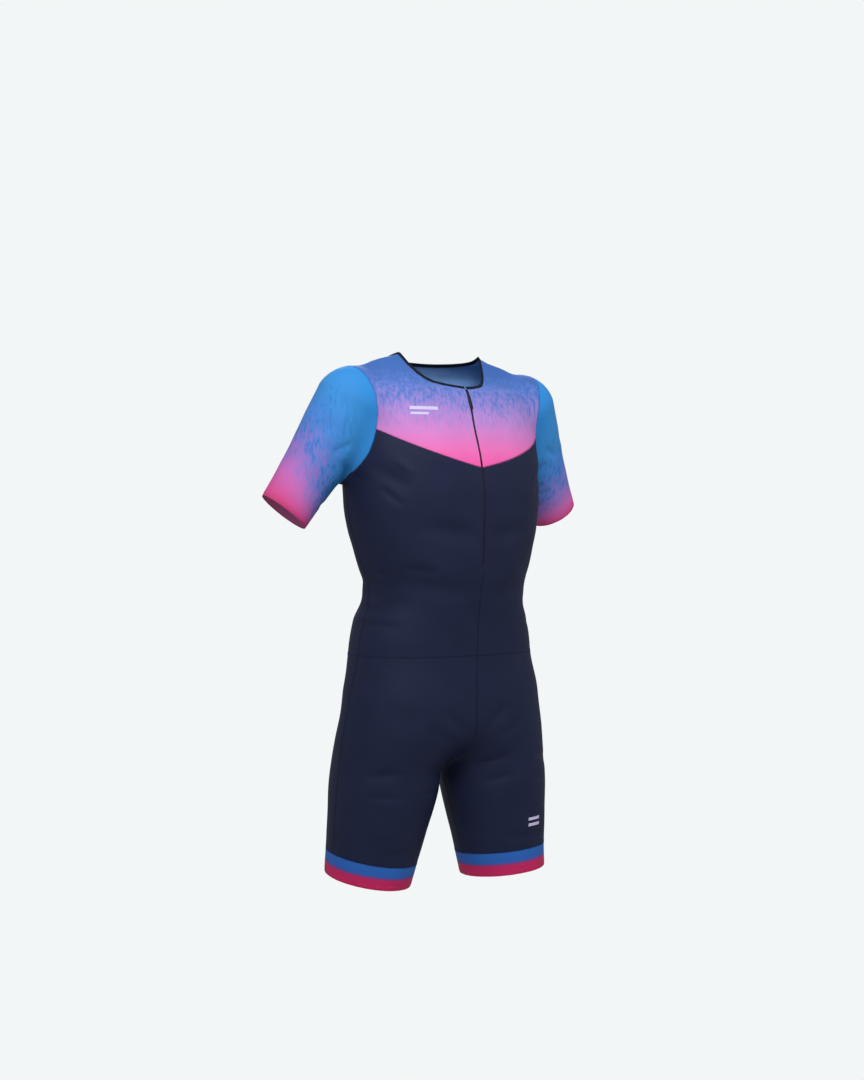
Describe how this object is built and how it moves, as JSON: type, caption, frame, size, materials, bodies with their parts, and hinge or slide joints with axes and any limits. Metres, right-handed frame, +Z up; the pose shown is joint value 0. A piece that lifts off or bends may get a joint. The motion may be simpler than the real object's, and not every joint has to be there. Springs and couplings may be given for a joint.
{
  "type": "triathlon suit",
  "caption": "Short-sleeved, knee-length-short triathlon suit in its worn shape, empty, with a front zip that has a hinged pull tab.",
  "frame": {"origin": "between the two shoulder seams, where the wearer's shoulders hold the suit up", "axes": "+Z up, -Y towards the suit's front, +X towards its left side"},
  "size_m": [0.6358, 0.2463, 0.9109],
  "materials": {
    "navy_lycra": "matt fine knit",
    "printed_lycra": "matt fine knit, printed blue to lilac to pink",
    "printed_sleeve_lycra": "matt fine knit, printed blue to purple to crimson",
    "band_elastic": "soft elastic, blue above and crimson below",
    "neck_binding_elastic": "matt",
    "zip_tape_polyester": "matt weave",
    "zip_slider_lacquer": "black lacquer",
    "zip_tab_rubber": "satin"
  },
  "bodies": {
    "suit": {"yoke_front_right": "printed_lycra", "yoke_front_left": "printed_lycra", "yoke_back": "printed_lycra", "body_front_right": "navy_lycra", "body_front_left": "navy_lycra", "body_back": "navy_lycra", "short_front_right": "navy_lycra", "short_front_left": "navy_lycra", "short_back_right": "navy_lycra", "short_back_left": "navy_lycra", "leg_band_right": "band_elastic", "leg_band_left": "band_elastic", "sleeve_right": "printed_sleeve_lycra", "sleeve_left": "printed_sleeve_lycra", "neck_binding": "neck_binding_elastic", "zip_tape": "zip_tape_polyester", "zip_slider": "zip_slider_lacquer"},
    "pull_tab": {"zip_pull_tab": "zip_tab_rubber"}
  },
  "joints": [
    {"name": "pull_tab_hinge", "type": "hinge", "parent": "suit", "child": "pull_tab", "pos_m": [0, -0.08181, -0.04212], "axis": [-1, 0, 0], "range_deg": [0, 150]}
  ]
}
